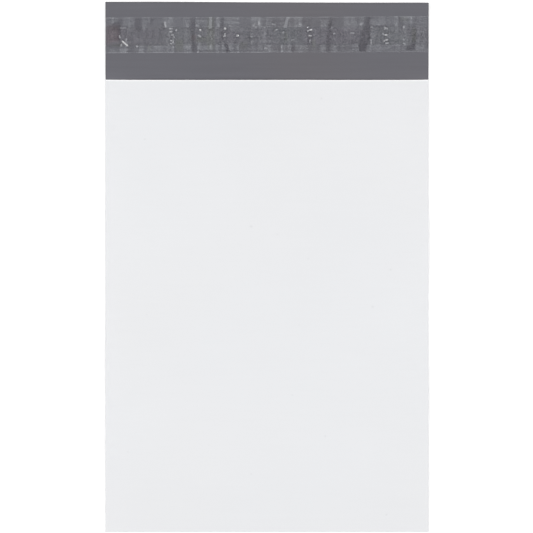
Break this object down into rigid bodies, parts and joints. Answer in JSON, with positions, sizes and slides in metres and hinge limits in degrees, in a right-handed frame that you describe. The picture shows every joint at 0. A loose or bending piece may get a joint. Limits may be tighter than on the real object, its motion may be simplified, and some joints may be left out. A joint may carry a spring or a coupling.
{
  "type": "poly mailer bag",
  "caption": "Flat empty poly mailer with its flap open: pale folded film pocket, grey inside, adhesive band under a clear release liner.",
  "frame": {"origin": "middle of the bag's outline with the flap open, on the surface that it lies on", "axes": "+X across the bag to its right side, +Y from the bottom crease to the flap's cut edge, +Z out of the front panel"},
  "size_m": [0.1906, 0.3126, 0.0072],
  "materials": {
    "film": "satin",
    "hot_melt": "gloss",
    "clear_liner": "gloss"
  },
  "bodies": {
    "root": {"mailer_film": "film", "adhesive_band": "hot_melt", "release_liner": "clear_liner"}
  },
  "joints": []
}
